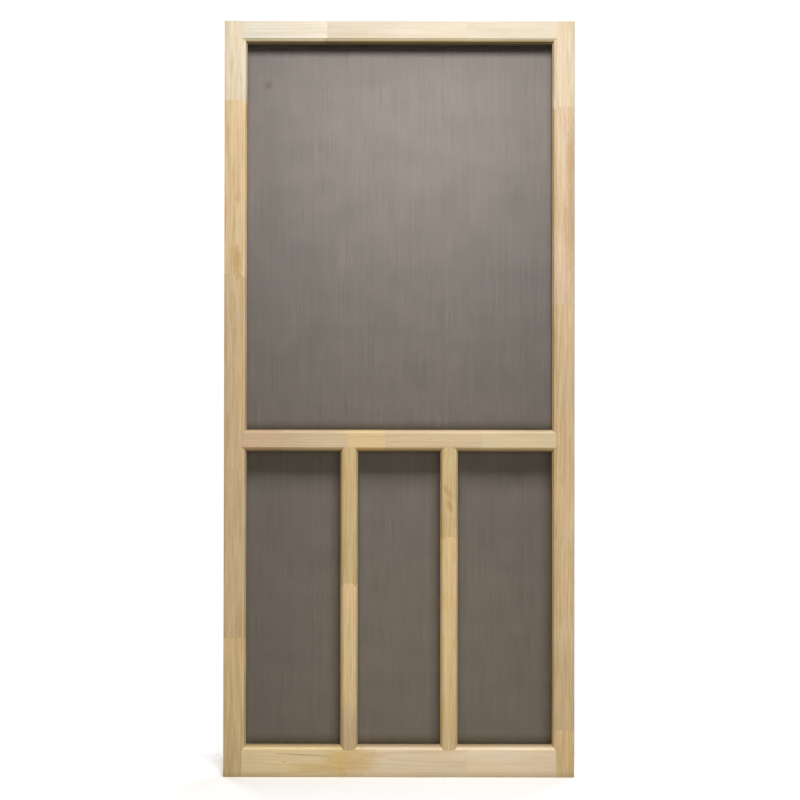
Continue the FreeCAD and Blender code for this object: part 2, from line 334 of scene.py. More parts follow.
class Wiring:
    """Short calls for building a node tree."""

    def __init__(self, tree):
        self.tree = tree

    def node(self, kind, **settings):
        """A new node with its own settings, such as its operation."""
        made = self.tree.nodes.new(kind)
        for name, value in settings.items():
            setattr(made, name, value)
        return made

    def link(self, value, socket):
        """Joins a socket to another one, or sets it to a plain value."""
        if isinstance(value, bpy.types.NodeSocket):
            self.tree.links.new(value, socket)
        elif value is not None:
            socket.default_value = value

    def fill(self, node, *values):
        """Links or sets the inputs of a node in their order."""
        for value, socket in zip(values, node.inputs):
            self.link(value, socket)
        return node.outputs

    def feed(self, node, **values):
        """Links or sets the inputs of a node by name, with _ for a space."""
        for name, value in values.items():
            self.link(value, node.inputs[name.replace("_", " ")])
        return node.outputs

    def math(self, operation, a, b=None, c=None, clamp=False):
        return self.fill(self.node("ShaderNodeMath", operation=operation, use_clamp=clamp), a, b, c)[0]

    def swing(self, value, reach, about=0.0):
        """Turns a value between 0 and 1 into one that swings to both sides of another."""
        return self.math("MULTIPLY_ADD", self.math("SUBTRACT", value, 0.5), reach, about)

    def squares(self, a, b):
        """The sum of two squares."""
        return self.math("ADD", self.math("POWER", a, 2.0), self.math("POWER", b, 2.0))

    def combine(self, x, y, z):
        return self.fill(self.node("ShaderNodeCombineXYZ"), x, y, z)[0]

    def separate(self, vector):
        return self.fill(self.node("ShaderNodeSeparateXYZ"), vector)

    def place(self):
        """X, Y and Z of a point in the door's own frame."""
        return self.separate(self.node("ShaderNodeTexCoord").outputs["Object"])

    def noise(self, vector, scale=1.0, detail=2.0, roughness=0.5):
        node = self.node("ShaderNodeTexNoise")
        return self.feed(node, Vector=vector, Scale=scale, Detail=detail, Roughness=roughness)[0]

    def stretched(self, often, along, across, slice_at, detail=2.0, roughness=0.5):
        """Noise that changes as often in a metre as the two numbers say, along and across."""
        run, side = (self.math("MULTIPLY", way, times) for way, times in zip((along, across), often))
        return self.noise(self.combine(run, side, slice_at), 1.0, detail, roughness)

    def random(self, value):
        return self.feed(self.node("ShaderNodeTexWhiteNoise", noise_dimensions="1D"), W=value)["Color"]

    def mix(self, factor, a, b, blend="MIX"):
        node = self.node("ShaderNodeMix", data_type="RGBA", blend_type=blend)
        self.link(factor, node.inputs[0])
        self.link(a, node.inputs[6])
        self.link(b, node.inputs[7])
        return node.outputs[2]

    def tinted(self, colour, tint):
        """A colour multiplied by a tint."""
        return self.mix(1.0, colour, tint, "MULTIPLY")

    def shaded(self, colour, shade):
        """A colour multiplied by a value."""
        return self.tinted(colour, self.combine(shade, shade, shade))

    def stain(self, factor, colour, tint):
        """A colour mixed with its own tinted shade."""
        return self.mix(factor, colour, self.tinted(colour, tint))

    def ramp(self, factor, stops, interpolation="LINEAR"):
        node = self.node("ShaderNodeValToRGB")
        node.color_ramp.interpolation = interpolation
        elements = node.color_ramp.elements
        while len(elements) > 1:
            elements.remove(elements[-1])
        for i, (position, colour) in enumerate(stops):
            element = elements[0] if i == 0 else elements.new(position)
            element.position = position
            element.color = colour
        return self.fill(node, factor)

    def group(self, group, **values):
        return self.feed(self.node("ShaderNodeGroup", node_tree=group), **values)

    def bump(self, shader, height, strength, distance):
        """Gives a shader the small relief of a height."""
        relief = self.feed(self.node("ShaderNodeBump"), Height=height, Strength=strength, Distance=distance)
        self.feed(shader, Normal=relief[0])

    def seen(self):
        """1 where the camera sees a point, also in a mirror or through glass, and 0 where it only lights others."""
        ray = self.node("ShaderNodeLightPath").outputs
        seen = self.math("MAXIMUM", ray["Is Camera Ray"], ray["Is Transmission Ray"])
        return self.math("MAXIMUM", seen, ray["Is Glossy Ray"])


def new_material(name):
    """A material, the calls that wire it and its shader."""
    material = bpy.data.materials.new(name)
    material.use_nodes = True
    return material, Wiring(material.node_tree), material.node_tree.nodes["Principled BSDF"]


# How often the features of the pine change in a metre, along and across the grain.
RIPPLE = (14.0, 60.0)
FIBRE = (22.0, 1400.0)
DUCT = (60.0, 900.0)
CLOUD = (5.0, 38.0)
STREAK = (9.0, 170.0)
FLUSH = (7.0, 22.0)
RAGGED = (60.0, 260.0)

# Tints that multiply the pine: late wood, flushed and amber streaks, and painted shade: warm under the rails, darker on
# the moulding and at the door's edges and foot.
LATE_WOOD = (0.74, 0.56, 0.38, 1)
RUDDY = (1.02, 0.955, 0.90, 1)
AMBER_STREAK = (1.0, 0.92, 0.72, 1)
UNDERSIDE_SHADE_TINT = (1.0, 0.90, 0.58, 1)
MOULDING_SHADE_TINT = (0.50, 0.46, 0.39, 1)
SIDE_AND_FOOT_SHADE_TINT = (0.42, 0.36, 0.28, 1)

# Where a block is cut from its log: how far the pith may lie to the side, its least depth and how much deeper it may
# be, how far the rings sway and lean along the grain, and how deep they ripple.
PITH_ASIDE = 0.09
PITH_DEPTH = 0.018
PITH_DEEPER = 0.07
SWAY = 0.016
LEAN = 0.05
RIPPLED = 0.0022

# Tone of a ring from its early to its late wood.
RING = ((0.0, 0.12), (0.08, 0.0), (0.45, 0.1), (0.78, 0.62), (0.92, 1.0), (1.0, 0.15))


def pine_group():
    """Growth rings, fibres and resin ducts of one block of pine, cut at random from its log."""
    group, inside, out = new_group(
        "pine_grain",
        {"Along": 0, "Across": 0, "Depth": 0, "Seed": 0, "Tint": (0.8, 0.65, 0.45, 1), "Ring Gap": 0.005,
         "End Grain": 0, "Swell": 0, "Figure": 0.1, "Mottle": 0.3},
        ["Color", "Roughness", "Height"],
    )
    w = Wiring(group)
    along, across, depth, seed, tint, gap, end, swell, figure, mottle = inside.outputs[:10]
    chance = w.separate(w.random(seed))
    shift = w.math("MULTIPLY", seed, 37.0)

    # Rings round a pith that lies somewhere behind the face
    slow = w.noise(w.combine(w.math("MULTIPLY", along, 2.6), shift, 0.0))
    sway = w.swing(slow, SWAY)
    lean = w.math("MULTIPLY", along, w.swing(chance[2], LEAN))
    pith_side = w.swing(chance[0], PITH_ASIDE)
    pith_depth = w.math("MULTIPLY_ADD", chance[1], PITH_DEEPER, PITH_DEPTH)
    from_side = w.math("ADD", w.math("SUBTRACT", across, pith_side), sway)
    from_depth = w.math("ADD", w.math("ADD", depth, pith_depth), lean)
    radius = w.math("SQRT", w.squares(from_side, from_depth))
    radius = w.swing(w.stretched(RIPPLE, along, across, shift, detail=3.0), RIPPLED, radius)
    phase = w.math("DIVIDE", w.math("ADD", radius, swell), gap)
    late = w.ramp(w.math("FRACT", phase), [(at, (tone, tone, tone, 1)) for at, tone in RING])[0]
    year = w.separate(w.random(w.math("ADD", w.math("FLOOR", phase), shift)))
    late = w.math("MULTIPLY", late, w.math("MULTIPLY_ADD", year[0], 0.75, 0.25))

    # Fine and broad unevenness along the grain
    inner = w.math("MULTIPLY_ADD", depth, FIBRE[1], shift)
    fibre = w.stretched(FIBRE, along, across, inner, detail=3.0, roughness=0.6)
    inner = w.math("MULTIPLY_ADD", depth, DUCT[1], shift)
    duct = w.stretched(DUCT, along, across, inner, detail=0.0)
    duct = w.math("MULTIPLY", w.math("SUBTRACT", duct, 0.69), 9.0, clamp=True)
    cloud = w.stretched(CLOUD, along, across, shift, detail=3.0)
    streak = w.stretched(STREAK, along, across, w.math("ADD", shift, 3.0), detail=3.0, roughness=0.6)
    streak = w.swing(streak, figure)
    flush = w.stretched(FLUSH, along, across, w.math("ADD", shift, 5.0))

    tint = w.stain(w.math("MULTIPLY_ADD", flush, 2.4, -0.7, clamp=True), tint, RUDDY)
    colour = w.stain(w.math("MULTIPLY", late, 0.34), tint, LATE_WOOD)
    colour = w.mix(w.math("MULTIPLY", streak, -6.0, clamp=True), colour, w.tinted(tint, AMBER_STREAK))
    shade = w.math("ADD", w.swing(cloud, mottle, 1.0), streak)
    shade = w.math("ADD", shade, w.swing(fibre, 0.10))
    shade = w.math("SUBTRACT", shade, w.math("MULTIPLY", duct, 0.12))
    shade = w.math("MULTIPLY", shade, w.math("MULTIPLY_ADD", end, -0.24, 1.0))
    rough = w.math("MULTIPLY_ADD", end, 0.2, w.math("MULTIPLY_ADD", late, -0.1, 0.62))
    height = w.math("ADD", w.math("MULTIPLY", fibre, 0.5), w.math("MULTIPLY", late, 0.5))
    height = w.math("SUBTRACT", height, w.math("MULTIPLY", duct, 0.5))
    w.feed(out, Color=w.shaded(colour, shade), Roughness=rough, Height=height)
    return group


# Tints of bare pine.
CHALK = srgb(233, 227, 210)
IVORY = srgb(218, 209, 189)
PALE = srgb(236, 225, 201)
CREAM = srgb(221, 206, 179)
PEACH = srgb(215, 194, 164)
ROSE = srgb(227, 203, 163)
BLUSH = srgb(212, 187, 156)
SAND = srgb(211, 188, 151)
WHEAT = srgb(213, 191, 153)
BUFF = srgb(213, 195, 163)
FAWN = srgb(218, 202, 168)
OAT = srgb(249, 233, 205)
CORN = srgb(249, 229, 184)
LEMON = srgb(224, 201, 156)
HONEY = srgb(207, 186, 140)

# Blocks of each member along its grain: where a block ends as a share of the member, and its tint.
# The pale cream tints of the top rail and of the stiles' top blocks are partly the wood's own and partly painted
# highlight, the washed-out tone of the brightly lit top of the door.
BLOCKS = {
    "left_stile": [(0.181, LEMON), (0.406, WHEAT), (0.661, SAND), (0.891, ROSE), (1.0, PALE)],
    "right_stile": [(0.061, LEMON), (0.313, WHEAT), (0.624, SAND), (0.883, PEACH), (1.0, CREAM)],
    "top_rail": [(0.28, CHALK), (0.70, IVORY), (1.0, IVORY)],
    "middle_rail": [(0.15, BLUSH), (0.34, BUFF), (0.46, LEMON), (0.75, BUFF), (1.0, FAWN)],
    "bottom_rail": [(0.34, CORN), (0.70, OAT), (1.0, OAT)],
    "left_bar": [(0.55, LEMON), (1.0, HONEY)],
    "right_bar": [(0.38, LEMON), (0.70, LEMON), (1.0, HONEY)],
}

# Steps between the seeds of neighbouring blocks and of members.
BLOCK_STEP = 1 / 16
MEMBER_STEP = 1.37

# Colours of knots and stains.
RESIN = srgb(166, 112, 54)
AMBER = srgb(226, 184, 90)
SMOKE = srgb(186, 163, 145)
OCHRE = srgb(188, 150, 88)

# Knots, streaks and stains of each member, and a strip of painted shade: place along and across, length, width,
# slant, depth of tone, pull on the rings and colour.
MARKS = {
    "left_stile": [(1.343, 0.0335, 0.105, 0.030, -0.06, 0.62, 0.009, OCHRE),
                   (1.511, 0.0350, 0.040, 0.020, 0.0, 0.34, 0.004, OCHRE),
                   (1.462, 0.0262, 0.110, 0.0055, 0.0, 0.26, 0.0, OCHRE)],
    "right_stile": [(1.490, 0.908, 0.560, 0.046, 0.0, 0.34, 0.0, RESIN),
                    # This long, faint strip along the right stile's inner edge is painted shade on the moulding's side
                    # away from the light, in resin colour.
                    (1.150, 0.862, 1.700, 0.024, 0.0, 0.16, 0.0, RESIN)],
    "bottom_rail": [(0.198, 0.0585, 0.150, 0.0045, -0.05, 0.42, 0.002, RESIN),
                    (0.159, 0.039, 0.008, 0.006, 0.0, 0.40, 0.003, RESIN),
                    (0.330, 0.044, 0.165, 0.090, 0.0, 0.55, 0.0, AMBER),
                    (0.225, 0.026, 0.130, 0.036, 0.0, 0.30, 0.0, AMBER)],
    "left_bar": [(0.118, 0.325, 0.170, 0.070, 0.0, 0.46, 0.0, SMOKE)],
    "right_bar": [(0.742, 0.583, 0.056, 0.018, -0.55, 0.34, 0.005, RESIN),
                  (0.706, 0.588, 0.044, 0.020, -0.30, 0.40, 0.007, RESIN),
                  (0.148, 0.587, 0.006, 0.004, 0.0, 0.25, 0.0, RESIN),
                  (0.134, 0.590, 0.006, 0.004, 0.0, 0.25, 0.0, RESIN)],
}

# Strength of the streaks and of the cloudy tone on each kind of member.
FIGURE = {"stile": 0.60, "bar": 0.60, "rail": 0.10}
MOTTLE = {"stile": 0.30, "bar": 0.16, "rail": 0.30}

# Glue lines between blocks: colour, half the width and strength.
GLUE = srgb(150, 112, 70)
GLUE_HALF = 0.0003
GLUE_TONE = 0.26

# How far painted shade reaches: over the moulding, in from the door's sides and up from the floor.
MOULDING_REACH = 0.0105
SIDE_SHADE_REACH = 0.004
FOOT_SHADE_REACH = 0.016


def knot_group():
    """An oval patch of dark wood with ragged edges, and the swell that it puts into the rings round it."""
    group, inside, out = new_group(
        "pine_knot",
        {"Along": 0, "Across": 0, "Place Along": 0, "Place Across": 0, "Length": 0.05, "Width": 0.01, "Slant": 0},
        ["Mask", "Swell"],
    )
    w = Wiring(group)
    along, across, place_along, place_across, length, width, slant = inside.outputs[:7]
    run = w.math("SUBTRACT", along, place_along)
    side = w.math("SUBTRACT", w.math("SUBTRACT", across, place_across), w.math("MULTIPLY", run, slant))
    u = w.math("DIVIDE", w.math("MULTIPLY", run, 2.0), length)
    v = w.math("DIVIDE", w.math("MULTIPLY", side, 2.0), width)
    far = w.squares(u, v)
    edge = w.swing(w.stretched(RAGGED, along, across, 0.0), 1.6, far)
    mask = w.math("MULTIPLY", w.math("SUBTRACT", 1.0, edge), 1.1, clamp=True)
    w.feed(out, Mask=mask, Swell=w.math("POWER", math.e, w.math("MULTIPLY", far, -0.4)))
    return group


def painted_wood_shade_group():
    """Painted shade on the wood: warmer under the rails, darker on the moulding, at the door's outer edges and towards
    its foot.
    """
    group, inside, out = new_group(
        "edge_wear",
        {"Color": (0.8, 0.65, 0.45, 1), "Facing": 1, "Facing Up": 0, "From Moulding": 1, "From Side": 1,
         "From Floor": 1},
        ["Color"],
    )
    w = Wiring(group)
    wood, facing, up, moulding, side, floor = inside.outputs[:6]
    # Painted warm shade on the surfaces that face down, under the rails.
    wood = w.stain(w.math("MULTIPLY", up, -1.4, clamp=True), wood, UNDERSIDE_SHADE_TINT)
    # Painted shade on the moulding, on its surfaces that face neither front nor back.
    moulding_shade = w.math("SUBTRACT", 1.6, w.math("MULTIPLY", facing, 2.1), clamp=True)
    moulding_shade = w.math("MULTIPLY", moulding_shade, w.math("LESS_THAN", moulding, MOULDING_REACH))
    wood = w.stain(moulding_shade, wood, MOULDING_SHADE_TINT)
    # Painted shade on the eased outer edges, and darker towards the foot of the door.
    side_shade = w.math("SUBTRACT", 1.5, w.math("DIVIDE", side, SIDE_SHADE_REACH), clamp=True)
    foot_shade = w.math("SUBTRACT", 1.0, w.math("DIVIDE", floor, FOOT_SHADE_REACH), clamp=True)
    side_and_foot_shade = w.math("MULTIPLY_ADD", foot_shade, 0.34, w.math("MULTIPLY", side_shade, 0.10))
    w.feed(out, Color=w.stain(side_and_foot_shade, wood, SIDE_AND_FOOT_SHADE_TINT))
    return group


def pine_material(node, grain, knot, painted_shade, look):
    """Finger-jointed pine for one member: its blocks, their tints and the glue lines between them."""
    material, w, shader = new_material(f"pine_{node}")
    point = w.node("ShaderNodeTexCoord").outputs
    x, y, z = w.separate(point["Object"])
    facing = w.separate(point["Normal"])
    kind = node.split("_")[-1]
    axis, along, across = (0, x, z) if kind == "rail" else (2, z, x)
    low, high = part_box(node)
    start, length = low[axis], high[axis] - low[axis]
    centre = (low[2 - axis] + high[2 - axis]) / 2

    # Blocks that end in fingers. The ramp's colour is a block's tint, and its alpha tells the blocks apart.
    saw = w.math("PINGPONG", w.math("SUBTRACT", y, FRONT), look.finger_pitch / 2)
    fingers = w.math("MULTIPLY_ADD", saw, look.finger_length / (look.finger_pitch / 2), along)
    share = w.math("DIVIDE", w.math("SUBTRACT", fingers, start), length)
    stops, begin = [], 0.0
    for i, (end, tint) in enumerate(BLOCKS[node]):
        stops.append((begin, (*tint, (i + 1) * BLOCK_STEP)))
        begin = end
    colour, seed = w.ramp(share, stops, "CONSTANT")
    _, before = w.ramp(w.math("SUBTRACT", share, GLUE_HALF / length), stops, "CONSTANT")
    _, after = w.ramp(w.math("ADD", share, GLUE_HALF / length), stops, "CONSTANT")
    glue = w.math("GREATER_THAN", w.math("ABSOLUTE", w.math("SUBTRACT", after, before)), 0.001)
    seed = w.math("ADD", seed, sorted(BLOCKS).index(node) * MEMBER_STEP)

    end_grain = w.math("GREATER_THAN", w.math("ABSOLUTE", facing[axis]), 0.8)
    swell, patches = 0.0, []
    for at, aside, long, wide, slant, tone, pull, stain in MARKS.get(node, []):
        mark = w.group(knot, Along=along, Across=across, Place_Along=at, Place_Across=aside, Length=long, Width=wide,
                       Slant=slant)
        swell = w.math("MULTIPLY_ADD", mark["Swell"], pull, swell)
        patches.append((mark["Mask"], tone, stain))
    pine = w.group(grain, Along=along, Across=w.math("SUBTRACT", across, centre), Depth=y, Seed=seed, Tint=colour,
                   Ring_Gap=look.ring_gap, End_Grain=end_grain, Swell=swell, Figure=FIGURE[kind], Mottle=MOTTLE[kind])
    wood = w.mix(w.math("MULTIPLY", glue, GLUE_TONE), pine["Color"], (*GLUE, 1))
    for mask, tone, stain in patches:
        wood = w.mix(w.math("MULTIPLY", mask, tone), wood, (*stain, 1))
    # Painted shade under the rails, on the moulding, at the door's outer edges and towards its foot.
    beside = [w.math("ABSOLUTE", w.math("SUBTRACT", across, edge)) for edge in moulded_edges(node)]
    outer = w.math("MINIMUM", x, w.math("SUBTRACT", WIDTH, x))
    facing_front_or_end = w.math("MAXIMUM", w.math("ABSOLUTE", facing[1]), end_grain)
    shaded_wood = w.group(painted_shade, Color=wood, Facing=facing_front_or_end, Facing_Up=facing[2],
                   From_Moulding=w.math("MINIMUM", beside[0], beside[-1]), From_Side=outer, From_Floor=z)
    w.feed(shader, Base_Color=shaded_wood["Color"], Roughness=pine["Roughness"], Specular_IOR_Level=0.2)
    w.bump(shader, pine["Height"], strength=0.25, distance=0.0003)
    return material


def make_member(scene, node, axis, span, copes, names):
    """Makes a member along X or Z, coped over others and routed for its openings, that stands for its node."""
    rules = scene.door_joinery
    cutters = cope_cutters(copes, rules) + rout_cutters(names, rules)
    outline = section(node, rules)
    if axis == "X":
        outline = [(y, a) for a, y in outline]
    piece = finish_wood(prism(node, outline, axis, *span), cutters, rules, node)
    grain = bpy.data.node_groups.get("pine_grain") or pine_group()
    knot = bpy.data.node_groups.get("pine_knot") or knot_group()
    painted_shade = bpy.data.node_groups.get("edge_wear") or painted_wood_shade_group()
    piece.data.materials.clear()
    piece.data.materials.append(pine_material(node, grain, knot, painted_shade, scene.door_wood))
    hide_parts(node)
    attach(piece, "root")


# Operators

class DOOR_OT_stiles(bpy.types.Operator):
    """Shape the two full-height stiles"""

    bl_idname = "door.stiles"
    bl_label = "Stiles"

    def execute(self, context):
        for node, low_opening in (("left_stile", "lower_left"), ("right_stile", "lower_right")):
            make_member(context.scene, node, "Z", (0.0, HEIGHT), (), ["upper", low_opening])
        return {"FINISHED"}


class DOOR_OT_rails(bpy.types.Operator):
    """Shape the three rails and cope their ends over the stiles"""

    bl_idname = "door.rails"
    bl_label = "Rails"

    def execute(self, context):
        for node, names in (("top_rail", ["upper"]), ("middle_rail", ["upper", *LOWER]), ("bottom_rail", LOWER)):
            make_member(context.scene, node, "X", (RAIL_INSET, WIDTH - RAIL_INSET), STILE_COPES, names)
        return {"FINISHED"}


class DOOR_OT_bars(bpy.types.Operator):
    """Shape the upright bars and cope their ends over the rails"""

    bl_idname = "door.bars"
    bl_label = "Bars"

    def execute(self, context):
        span = (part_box("bottom_rail")[1][2] - BAR_TUCK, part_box("middle_rail")[0][2] + BAR_TUCK)
        for node, names in (("left_bar", LOWER[:2]), ("right_bar", LOWER[1:])):
            make_member(context.scene, node, "Z", span, RAIL_COPES, names)
        return {"FINISHED"}


# Threads are six-sided. Their height is scaled so that they come out as thick as the setting says.
THREAD_SIDES = 6
SIX_SIDED = 0.577

# How often the tone of the yarn changes in a metre, along X and Z.
YARN_STREAK = (190.0, 7.0)
YARN_PATCH = (18.0, 18.0)
YARN_CLOUD = (11.0, 15.0)


def weave_tree():
    """Geometry nodes for a rectangle of plain weave: upright and lying threads, each with its own tone."""
    tree = bpy.data.node_groups.new("screen_weave", "GeometryNodeTree")
    for name, kind in (("Low", "Vector"), ("High", "Vector"), ("Pitch", "Float"), ("Upright Width", "Float"),
                       ("Lying Width", "Float"), ("Thickness", "Float"), ("Seed", "Int"), ("Material", "Material")):
        tree.interface.new_socket(name=name, in_out="INPUT", socket_type=f"NodeSocket{kind}")
    tree.interface.new_socket(name="Geometry", in_out="OUTPUT", socket_type="NodeSocketGeometry")
    tree.is_modifier = True
    w = Wiring(tree)
    inside = w.node("NodeGroupInput").outputs
    out = w.node("NodeGroupOutput")
    low, high = w.separate(inside["Low"]), w.separate(inside["High"])
    pitch, thick = inside["Pitch"], inside["Thickness"]
    middle = [w.math("MULTIPLY", w.math("ADD", a, b), 0.5) for a, b in zip(low, high)]
    size = [w.math("SUBTRACT", b, a) for a, b in zip(low, high)]

    thread = w.node("GeometryNodeMeshCylinder", fill_type="NGON")
    w.feed(thread, Vertices=THREAD_SIDES, Radius=1.0, Depth=1.0)
    join = w.node("GeometryNodeJoinGeometry")
    for run, width in ((0, inside["Upright Width"]), (2, inside["Lying Width"])):
        half = w.math("MULTIPLY", width, 0.5)
        first = w.math("CEIL", w.math("DIVIDE", w.math("ADD", low[run], half), pitch))
        first = w.math("MULTIPLY", first, pitch)
        room = w.math("SUBTRACT", w.math("SUBTRACT", high[run], half), first)
        count = w.math("ADD", w.math("FLOOR", w.math("DIVIDE", room, pitch)), 1.0)
        start, step = list(middle), [0.0, 0.0, 0.0]
        start[run], step[run] = first, pitch
        line = w.node("GeometryNodeMeshLine")
        points = w.feed(line, Count=count, Start_Location=w.combine(*start), Offset=w.combine(*step))["Mesh"]
        place = w.node("GeometryNodeInstanceOnPoints")
        scale = w.combine(half, w.math("MULTIPLY", thick, SIX_SIDED), size[2 - run])
        threads = w.feed(place, Points=points, Instance=thread.outputs["Mesh"], Scale=scale)["Instances"]
        if run == 2:
            w.feed(place, Rotation=(0.0, math.pi / 2, 0.0))
        tone = w.feed(w.node("FunctionNodeRandomValue"), Seed=inside["Seed"])[1]
        for name, value in (("thread_tone", tone), ("thread_turn", 1.0 - run)):
            store = w.node("GeometryNodeStoreNamedAttribute", data_type="FLOAT", domain="INSTANCE")
            threads = w.feed(store, Geometry=threads, Name=name, Value=value)["Geometry"]
        w.fill(join, threads)
    real = w.fill(w.node("GeometryNodeRealizeInstances"), join.outputs[0])[0]
    paint = w.feed(w.node("GeometryNodeSetMaterial"), Geometry=real, Material=inside["Material"])
    w.fill(out, paint[0])
    return tree


def yarn_group():
    """Coated glass yarn in plain weave: uneven threads, patchy streaks, soft clouds and the over and under, with
    painted shade where a thread dips.
    """
    sockets = {"Tint": (0.25, 0.23, 0.2, 1), "Pitch": 0.0012}
    group, inside, out = new_group("screen_yarn", sockets, ["Color", "Height"])
    w = Wiring(group)
    tint, pitch = inside.outputs[:2]
    x, _, z = w.place()
    tone = w.node("ShaderNodeAttribute", attribute_name="thread_tone").outputs["Fac"]
    turn = w.node("ShaderNodeAttribute", attribute_name="thread_turn").outputs["Fac"]
    patch = w.stretched(YARN_PATCH, x, z, 9.0)
    patch = w.math("MULTIPLY", w.math("SUBTRACT", patch, 0.5), 7.0, clamp=True)
    streak = w.swing(w.stretched(YARN_STREAK, x, z, 0.0), w.math("MULTIPLY_ADD", patch, 0.44, 0.14))
    cloud = w.stretched(YARN_CLOUD, x, z, 4.0, detail=3.0)
    shade = w.swing(tone, 0.10, 1.0)
    shade = w.swing(cloud, 0.28, w.math("ADD", shade, streak))
    # The over and under: a bump, and painted shade that darkens a thread where it dips under another and lightens it
    # where it rises.
    turns = w.math("DIVIDE", math.pi, pitch)
    wave = w.math("COSINE", w.math("MULTIPLY", x, turns))
    wave = w.math("MULTIPLY", wave, w.math("COSINE", w.math("MULTIPLY", z, turns)))
    over = w.math("MULTIPLY", wave, turn)
    shade = w.math("MULTIPLY", shade, w.math("MULTIPLY_ADD", over, 0.10, 0.90))
    w.feed(out, Color=w.shaded(tint, shade), Height=over)
    return group


# How far painted shade reaches in from each edge of an opening, and how dark it is there.
SCREEN_EDGE_SHADE = {
    "upper": {"left": (0.010, 0.10), "right": (0.016, 0.16), "low": (0.030, 0.60), "high": (0.024, 0.50)},
    "lower": {"left": (0.010, 0.14), "right": (0.034, 0.48), "low": (0.030, 0.70), "high": (0.014, 0.40)},
}

# Smudges on the screens: place along X and Z, size and depth.
SMUDGES = {"upper": [(0.1110, 1.8090, 0.0105, 0.28)]}

# How the painted shade and the smudges take red, green and blue away: more of the blue, so they look brown.
SHADE_AND_SMUDGE_BROWN = (1.0, 1.15, 1.4)

# The woven cloth lies this far in front of the back of its node.
HALF_CLOTH = 0.0003


def screen_edge_shade_group():
    """Painted shade that lies along one edge of an opening and thins out away from it."""
    group, inside, out = new_group("edge_dust", {"Inward": 1, "Reach": 0.01, "Depth": 0.1}, ["Clean"])
    w = Wiring(group)
    inward, reach, depth = inside.outputs[:3]
    edge_shade = w.math("SUBTRACT", 1.0, w.math("DIVIDE", inward, reach), clamp=True)
    edge_shade = w.math("MULTIPLY", w.math("POWER", edge_shade, 1.5), depth)
    w.feed(out, Clean=w.math("SUBTRACT", 1.0, edge_shade))
    return group


def screen_material(name, yarn, edge_shade, look):
    """Matt taupe screen for one opening, with painted brown shade where it goes into the wood, and its smudges."""
    material, w, shader = new_material(f"screen_{name}")
    x, _, z = w.place()
    left, right, low, high = opening(name)
    inward = {"left": w.math("SUBTRACT", x, left), "right": w.math("SUBTRACT", right, x),
              "low": w.math("SUBTRACT", z, low), "high": w.math("SUBTRACT", high, z)}
    # Painted brown shade along each edge of the opening, then the smudges.
    clear_of_shade_and_smudge = 1.0
    for side, (reach, depth) in SCREEN_EDGE_SHADE[name.split("_")[0]].items():
        clear_of_shade_and_smudge = w.math("MULTIPLY", clear_of_shade_and_smudge, w.group(edge_shade, Inward=inward[side], Reach=reach, Depth=depth)["Clean"])
    for at_x, at_z, size, depth in SMUDGES.get(name, []):
        far = w.squares(w.math("SUBTRACT", x, at_x), w.math("SUBTRACT", z, at_z))
        spot = w.math("POWER", math.e, w.math("DIVIDE", far, -size * size))
        clear_of_shade_and_smudge = w.math("MULTIPLY", clear_of_shade_and_smudge, w.math("MULTIPLY_ADD", spot, -depth, 1.0))
    cloth = w.group(yarn, Tint=(*look.colour, 1), Pitch=look.pitch)
    shade_and_smudge_tint = w.combine(*[w.math("POWER", clear_of_shade_and_smudge, power) for power in SHADE_AND_SMUDGE_BROWN])
    w.feed(shader, Base_Color=w.tinted(cloth["Color"], shade_and_smudge_tint), Roughness=0.6, Specular_IOR_Level=0.08)
    w.bump(shader, cloth["Height"], strength=0.5, distance=look.thickness / 2)
    return material


class DOOR_OT_screens(bpy.types.Operator):
    """Weave the insect screen of each opening"""

    bl_idname = "door.screens"
    bl_label = "Screens"

    def execute(self, context):
        look = context.scene.door_screen
        tree = weave_tree()
        yarn, edge_shade = yarn_group(), screen_edge_shade_group()
        inputs = {item.name: item.identifier for item in tree.interface.items_tree if item.in_out == "INPUT"}
        for name, members in OPENINGS.items():
            low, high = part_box(f"{name}_screen")
            cloth = high[1] - HALF_CLOTH
            loom = new_object(f"{name}_loom", bpy.data.meshes.new("loom"))
            weave = loom.modifiers.new("weave", "NODES")
            weave.node_group = tree
            sizes = {"Low": (low[0], cloth, low[2]), "High": (high[0], cloth, high[2]), "Pitch": look.pitch,
                     "Upright Width": look.warp_width, "Lying Width": look.weft_width, "Thickness": look.thickness,
                     "Seed": look.seed, "Material": screen_material(name, yarn, edge_shade, look)}
            for socket, value in sizes.items():
                weave[inputs[socket]] = value
            graph = bpy.context.evaluated_depsgraph_get()
            mesh = bpy.data.meshes.new_from_object(loom.evaluated_get(graph))
            if not mesh.polygons:
                raise RuntimeError(f"{name}: the weave came out empty")
            bpy.data.objects.remove(loom)
            piece = new_object(f"{name}_screen_cloth", mesh)
            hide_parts(f"{name}_screen")
            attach(piece, "root")
        return {"FINISHED"}


def vinyl_material():
    """Dull black vinyl with a dusty bloom."""
    material, w, shader = new_material("spline_vinyl")
    bloom = w.noise(w.node("ShaderNodeTexCoord").outputs["Object"], 240.0, 3.0)
    colour = w.mix(bloom, (*srgb(30, 29, 29), 1), (*srgb(58, 56, 54), 1))
    w.feed(shader, Base_Color=colour, Roughness=w.math("MULTIPLY_ADD", bloom, 0.25, 0.4))
    return material


class DOOR_OT_splines(bpy.types.Operator):
    """Finish the vinyl spline round each opening"""

    bl_idname = "door.splines"
    bl_label = "Splines"

    def execute(self, context):
        material = vinyl_material()
        for name in OPENINGS:
            for side in SPLINE_SIDES:
                strip = bpy.data.objects[f"{name}_spline_{side}"]
                strip.data.materials.clear()
                strip.data.materials.append(material)
        return {"FINISHED"}


